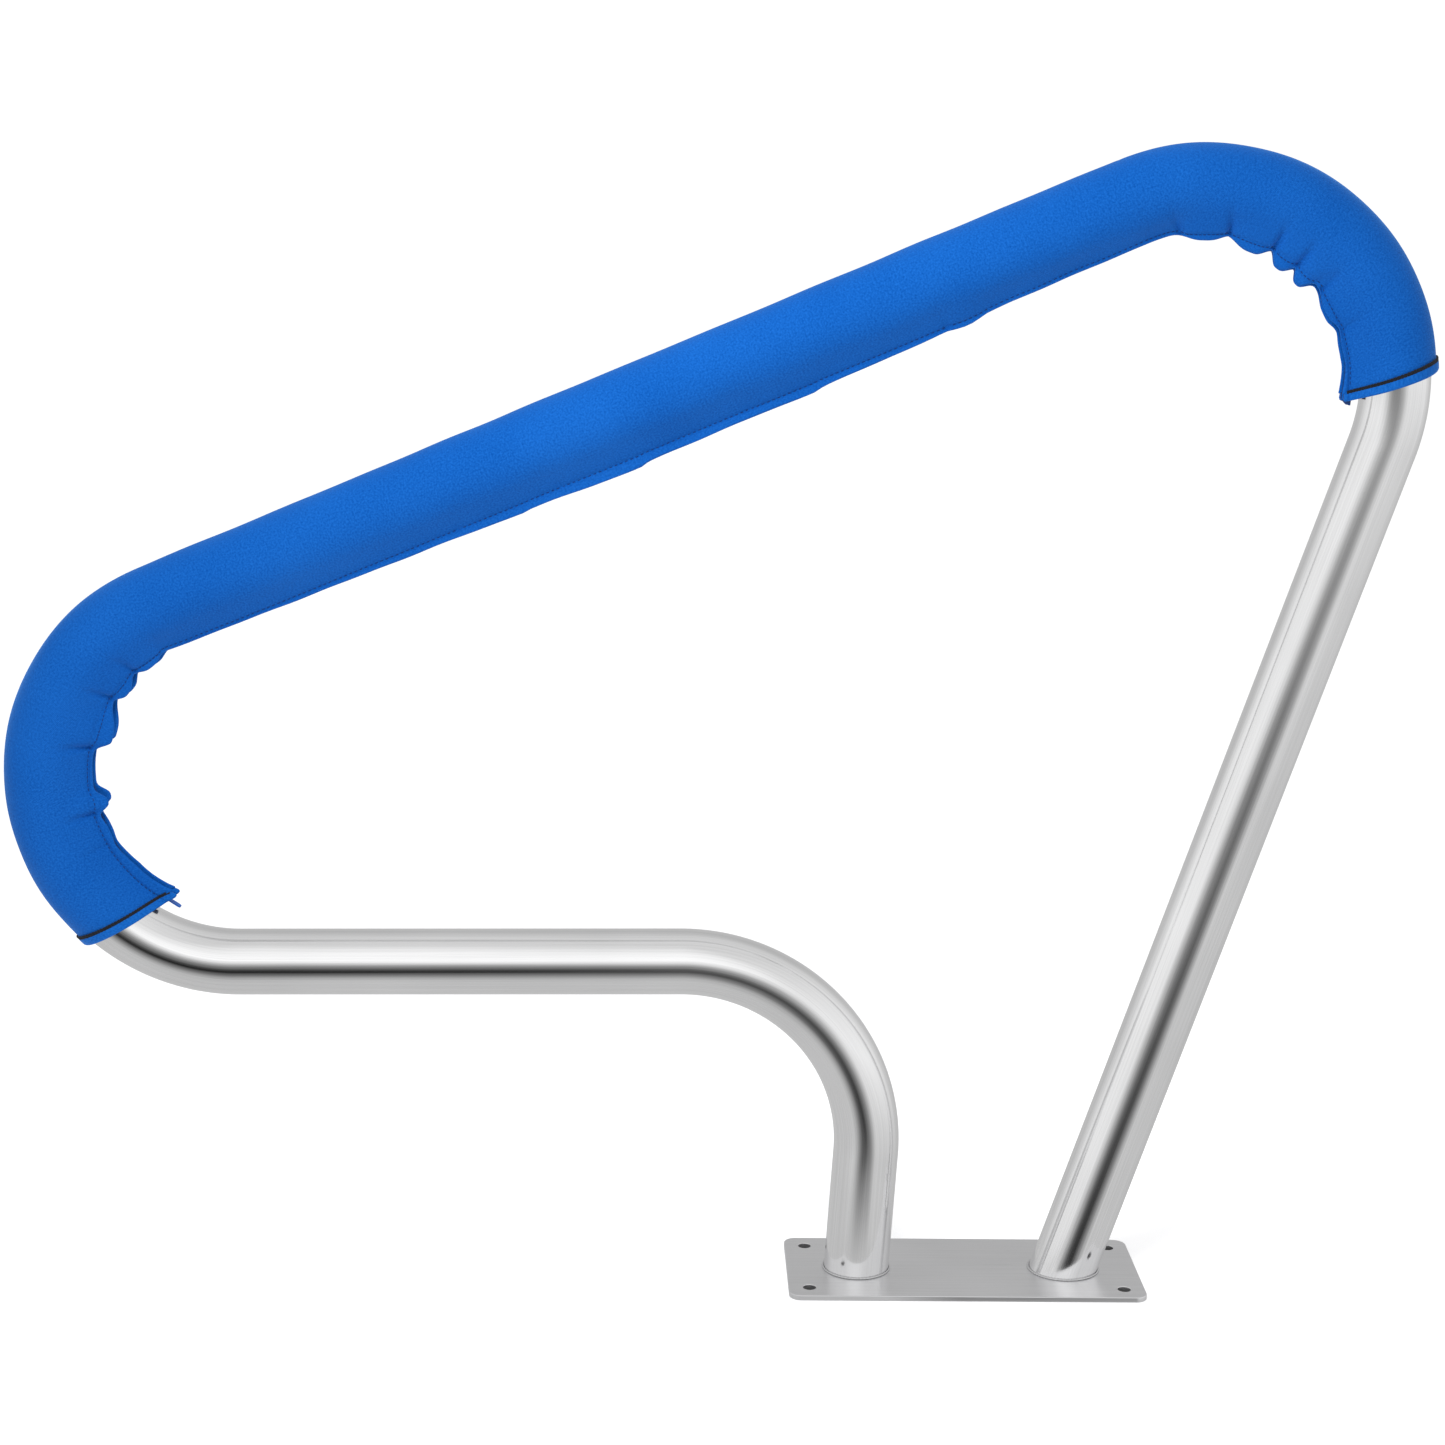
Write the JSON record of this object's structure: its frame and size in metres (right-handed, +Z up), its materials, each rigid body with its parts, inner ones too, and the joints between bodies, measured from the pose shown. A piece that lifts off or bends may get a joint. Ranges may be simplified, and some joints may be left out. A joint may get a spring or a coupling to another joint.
{
  "type": "pool handrail",
  "caption": "Figure-four pool handrail: one bent stainless tube welded to a flat deck plate, with a zipped blue neoprene grip sleeve over its sloping rail.",
  "frame": {"origin": "centre of the base plate's underside, on the deck surface", "axes": "+Z up, +X along the plate's length towards the steep leg and the high end of the rail, rail in the plane Y = 0, front face towards -Y"},
  "size_m": [1.0188, 0.1084, 0.831],
  "materials": {
    "stainless_tube": "satin, brushed along the tube",
    "stainless_plate": "satin, brushed along its length",
    "weld_metal": "ground weld, slightly duller than the tube",
    "neoprene": "royal blue knit-faced neoprene, matt",
    "hem_fabric": "folded hem of the same fabric with a black cover stitch",
    "zipper_tape": "dark blue woven tape",
    "zipper_plastic": "dark blue nylon and moulded acetal",
    "pull_plastic": "blue moulded pull"
  },
  "bodies": {
    "rail": {"rail_tube": "stainless_tube", "base_plate": "stainless_plate", "weld_left_leg": "weld_metal", "weld_right_leg": "weld_metal", "cover_sleeve": "neoprene", "cover_hem_lower": "hem_fabric", "cover_hem_upper": "hem_fabric", "zipper_tape_front": "zipper_tape", "zipper_tape_back": "zipper_tape", "zipper_row_front": "zipper_plastic", "zipper_row_back": "zipper_plastic", "zipper_top_stop_front": "zipper_plastic", "zipper_top_stop_back": "zipper_plastic", "zipper_insertion_pin": "zipper_plastic", "zipper_retainer_box": "zipper_plastic", "zipper_slider": "zipper_plastic"},
    "pull": {"zipper_pull": "pull_plastic"}
  },
  "joints": [
    {"name": "zipper_pull_swing", "type": "hinge", "parent": "rail", "child": "pull", "pos_m": [-0.59398, 0, 0.29036], "axis": [0, -1, 0], "range_deg": [0, 160]}
  ]
}
